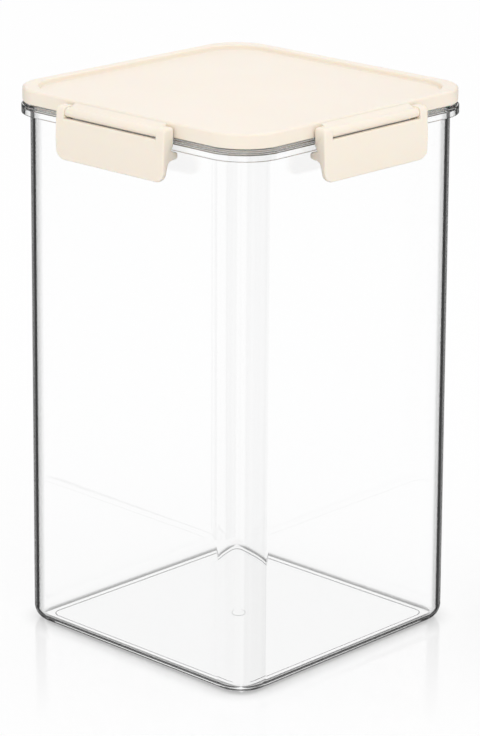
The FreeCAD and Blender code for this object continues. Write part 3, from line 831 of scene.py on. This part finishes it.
clear, tree = empty_material("clear_polished")
place = add_node(tree, "ShaderNodeTexCoord").outputs["Object"]
flow = add_node(tree, "ShaderNodeTexNoise", {"Vector": place, "Scale": CLEAR_FLOW_SCALE}).outputs["Fac"]
shader = add_node(tree, "ShaderNodeBsdfPrincipled",
                  {"Base Color": mixed(tree, flow, *CLEAR_TINTS), "Transmission Weight": 1.0,
                   "IOR": CLEAR_INDEX, "Roughness": 0.0})
add_node(tree, "ShaderNodeOutputMaterial", {"Surface": shader.outputs["BSDF"]})
body_shell.data.materials.append(clear)
print("clear plastic bends light by", CLEAR_INDEX)

# %% [markdown]
# ## Surroundings
# Clear things are lit from behind and around. The background has to be white where it is seen straight
# through the plastic, and darker where the plastic reflects it, because those darker reflections draw
# the edges. A photographer does this with a white wall and a few dark boards. Here the same is done
# with the world: a ray that comes straight, or only bends, finds white, and a ray that has been
# reflected on its way finds white strips and dark boards in turn, all round the object. The boards are
# paler on the open side, where the photographer stands. A wide window takes the place of the board in
# front, which keeps the left half of the near corner clear. Matt surfaces are lit by a plain room, a
# little dimmer on the open side, cool from above and warmer from below.

# %% Dark boards and a window
BOARD_COUNT = 4
# Each stop is (place, brightness), from the middle of a white strip at 0 to that of a board at 1.
BOARD_STOPS = [(0.0, 1.0), (0.033, 1.0), (0.065, 0.08), (0.45, 0.1), (0.55, 0.3), (0.74, 0.3), (0.84, 0.03),
               (1.0, 0.03)]
BOARD_TOP = (0.35, 0.65)
OPEN_SHARE = 0.3
WINDOW_EDGE = (0.3, 0.8)
WINDOW_SHARE = 0.9


def ramp_of(tree, value, stops):
    """A value taken through a ramp of (place, brightness) stops, with a straight run between two.

    Stops are added anywhere first, and each is then given its own place.
    """
    ramp = add_node(tree, "ShaderNodeValToRGB", {"Fac": value})
    elements = ramp.color_ramp.elements
    while len(elements) < len(stops):
        elements.new(0.5)
    for element, (place, brightness) in zip(elements, stops):
        element.position = place
        element.color = (brightness, brightness, brightness, 1)
    return ramp.outputs["Color"]


def boards_around(tree, x, y, z, facing):
    """The brightness that a reflected ray finds in the direction (x, y, z).

    The strips and boards follow a wave round the object, (1 + cos(count * bearing)) / 2. The largest
    of three shares turns them white: the height, the open side's share and the window's.
    """
    wave = tree_math(tree, "COSINE", tree_math(tree, "MULTIPLY", tree_math(tree, "ARCTAN2", y, x),
                                               BOARD_COUNT))
    board = ramp_of(tree, tree_math(tree, "MULTIPLY_ADD", wave, 0.5, 0.5), BOARD_STOPS)
    over = ranged(tree, z, BOARD_TOP)
    paler = tree_math(tree, "MULTIPLY", facing, OPEN_SHARE)
    window = ranged(tree, tree_math(tree, "MULTIPLY", y, -1), WINDOW_EDGE, (0.0, WINDOW_SHARE))
    white = tree_math(tree, "MAXIMUM", window, tree_math(tree, "MAXIMUM", over, paler))
    return mixed(tree, white, board, 1.0, "FLOAT")


print(BOARD_COUNT - 1, "dark boards and a window")

# %% World
OPEN_DIM = 0.1
AMBIENT_LOW = (0.93, 0.9, 0.785, 1)
AMBIENT_HIGH = (0.96, 0.965, 1.03, 1)
BLACK = (0, 0, 0, 1)


def reflected_before(tree, path):
    """1 for a ray that has been reflected on its way, and 0 for one that came straight or only bent.

    The depth counts reflections, so any limit between none and one tells the two apart.
    """
    return tree_math(tree, "GREATER_THAN", path["Glossy Depth"], 0.5)


world = bpy.data.worlds.new("studio")
bpy.context.scene.world = world
world.use_nodes = True
tree = world.node_tree
tree.nodes.clear()
path = add_node(tree, "ShaderNodeLightPath").outputs
direction = add_node(tree, "ShaderNodeTexCoord").outputs["Generated"]
x, y, z = add_node(tree, "ShaderNodeSeparateXYZ", {"Vector": direction}).outputs
facing = ranged(tree, tree_math(tree, "SUBTRACT", x, y))
seen = mixed(tree, reflected_before(tree, path), 1.0, boards_around(tree, x, y, z, facing), "FLOAT")
ambient = mixed(tree, tree_math(tree, "MULTIPLY", facing, OPEN_DIM),
                mixed(tree, z, AMBIENT_LOW, AMBIENT_HIGH), BLACK)
looking = tree_math(tree, "MAXIMUM", path["Is Camera Ray"],
                    tree_math(tree, "MAXIMUM", path["Is Glossy Ray"], path["Is Transmission Ray"]))
background = add_node(tree, "ShaderNodeBackground", {"Color": mixed(tree, looking, ambient, seen)})
add_node(tree, "ShaderNodeOutputWorld", {"Surface": background.outputs["Background"]})
print("world", world.name, "has", len(tree.nodes), "nodes")

# %% [markdown]
# ## The floor
# The canister stands on a matt white floor. A ray that was reflected on its way passes through it to
# the boards, or the base would lose its lines. Where the camera sees it, straight or bent through the
# plastic, most of the floor is a plain white light, and three things keep the object from floating. A
# small share of what is seen is still the matt floor, which takes the object's shadow. Beside the foot
# the white light is darkened by a painted shade, as deep as the share of open space that the foot hides
# there, and more so where it is seen bent, which paints dark lines along the base's far edges. And
# close to the foot the floor has a faint polish.

# %% Floor
FLOOR_SIZE = 30.0
FLOOR_DROP = 0.1 * MM
FLOOR_MATT = {"Base Color": (0.98, 0.98, 0.98, 1), "Roughness": 1.0, "Specular IOR Level": 0.0}
SHADOW_SHARE = 0.12
SHADOW_SHARE_BENT = 0.12

floor = mesh_object("floor", [(x * FLOOR_SIZE / 2, y * FLOOR_SIZE / 2, -FLOOR_DROP)
                              for x, y in ((-1, -1), (1, -1), (1, 1), (-1, 1))], [(0, 1, 2, 3)])
print("floor", FLOOR_SIZE, "m wide")

# %% Light and shade on the floor
# These set a painted shade beside the foot: the floor's white light is darkened where the foot hides open
# space, and darker still where it is seen bent, which paints dark lines along the base.
CONTACT_DISTANCE = 10 * MM
CONTACT_SAMPLES = 16
CONTACT_FROM = body_half - BASE_ROUND
CONTACT_SHARE = 0.5
CONTACT_SHARE_BENT = 0.95
FADE = 1.5
FADE_BENT = 14.0


def either(tree, bent_ray, plain, bent):
    """The plain value, or the bent one for a ray that was bent last."""
    return tree_math(tree, "MULTIPLY_ADD", bent_ray, bent - plain, plain)


def painted_foot_shade(tree, reach, bent_ray):
    """A painted shade beside the foot, as a strength: 1 less share * (1 - open)^fade, where open is the AO.
    """
    contact = add_node(tree, "ShaderNodeAmbientOcclusion", {"Distance": CONTACT_DISTANCE},
                       samples=CONTACT_SAMPLES)
    beside = tree_math(tree, "MULTIPLY", tree_math(tree, "GREATER_THAN", reach, CONTACT_FROM),
                       either(tree, bent_ray, CONTACT_SHARE, CONTACT_SHARE_BENT))
    hidden = tree_math(tree, "POWER", tree_math(tree, "SUBTRACT", 1.0, contact.outputs["AO"]),
                       either(tree, bent_ray, FADE, FADE_BENT))
    return tree_math(tree, "SUBTRACT", 1.0, tree_math(tree, "MULTIPLY", beside, hidden))


material, tree = empty_material("white_floor")
path = add_node(tree, "ShaderNodeLightPath").outputs
bent_ray, camera_ray = path["Is Transmission Ray"], path["Is Camera Ray"]
place = add_node(tree, "ShaderNodeTexCoord").outputs["Object"]
x, y, _ = add_node(tree, "ShaderNodeSeparateXYZ", {"Vector": place}).outputs
reach = tree_math(tree, "MAXIMUM", tree_math(tree, "ABSOLUTE", x), tree_math(tree, "ABSOLUTE", y))
matt = add_node(tree, "ShaderNodeBsdfPrincipled", FLOOR_MATT).outputs["BSDF"]
# The white light's strength carries the painted shade beside the foot.
white = add_node(tree, "ShaderNodeEmission", {"Strength": painted_foot_shade(tree, reach, bent_ray)})
bent = tree_math(tree, "MULTIPLY", bent_ray, 1 - SHADOW_SHARE_BENT)
straight = tree_math(tree, "MULTIPLY", camera_ray, 1 - SHADOW_SHARE)
shown = mixed_shaders(tree, tree_math(tree, "MAXIMUM", bent, straight), matt, white.outputs["Emission"])
print("the white is darker from", round(CONTACT_FROM, 4), "m outwards")

# %% Polish near the foot
MIRROR_SHARE = 0.16
MIRROR_WIDTH = 90 * MM
MIRROR_REACH = (CONTACT_FROM, CONTACT_FROM + MIRROR_WIDTH)
MIRROR_LOOKS = {"Color": (1, 1, 1, 1), "Roughness": 0.08}

mirror = add_node(tree, "ShaderNodeBsdfGlossy", MIRROR_LOOKS).outputs["BSDF"]
nearness = ranged(tree, reach, MIRROR_REACH, (MIRROR_SHARE, 0.0), "LINEAR")
polished = mixed_shaders(tree, tree_math(tree, "MULTIPLY", camera_ray, nearness), shown, mirror)
gone = add_node(tree, "ShaderNodeBsdfTransparent").outputs["BSDF"]
surface = mixed_shaders(tree, reflected_before(tree, path), polished, gone)
add_node(tree, "ShaderNodeOutputMaterial", {"Surface": surface})
floor.data.materials.append(material)
print("the polish ends", round(MIRROR_REACH[1], 3), "m from the middle")

# %% [markdown]
# ## The lamp
# The world alone would light the lid evenly from everywhere. One wide soft lamp, high up on the
# camera's right, gives the top the most light, and the right side a little more than the left. Rays
# that bend or reflect don't see it, so it leaves no bright square in the clear walls.

# %% Lamp
KEY_PLACE = Vector((1.2, -0.6, 1.9))
KEY_TARGET = Vector((0, 0, 0.2))
KEY_WIDTH = 1.4
KEY_POWER = 8.0

key = bpy.data.lights.new("key", "AREA")
key.size = KEY_WIDTH
key.energy = KEY_POWER
lamp = bpy.data.objects.new("key", key)
turn = (KEY_TARGET - KEY_PLACE).to_track_quat("-Z", "Y")
lamp.matrix_world = Matrix.Translation(KEY_PLACE) @ turn.to_matrix().to_4x4()
lamp.visible_glossy = False
lamp.visible_transmission = False
bpy.context.scene.collection.objects.link(lamp)
print("lamp at", [round(value, 2) for value in KEY_PLACE])
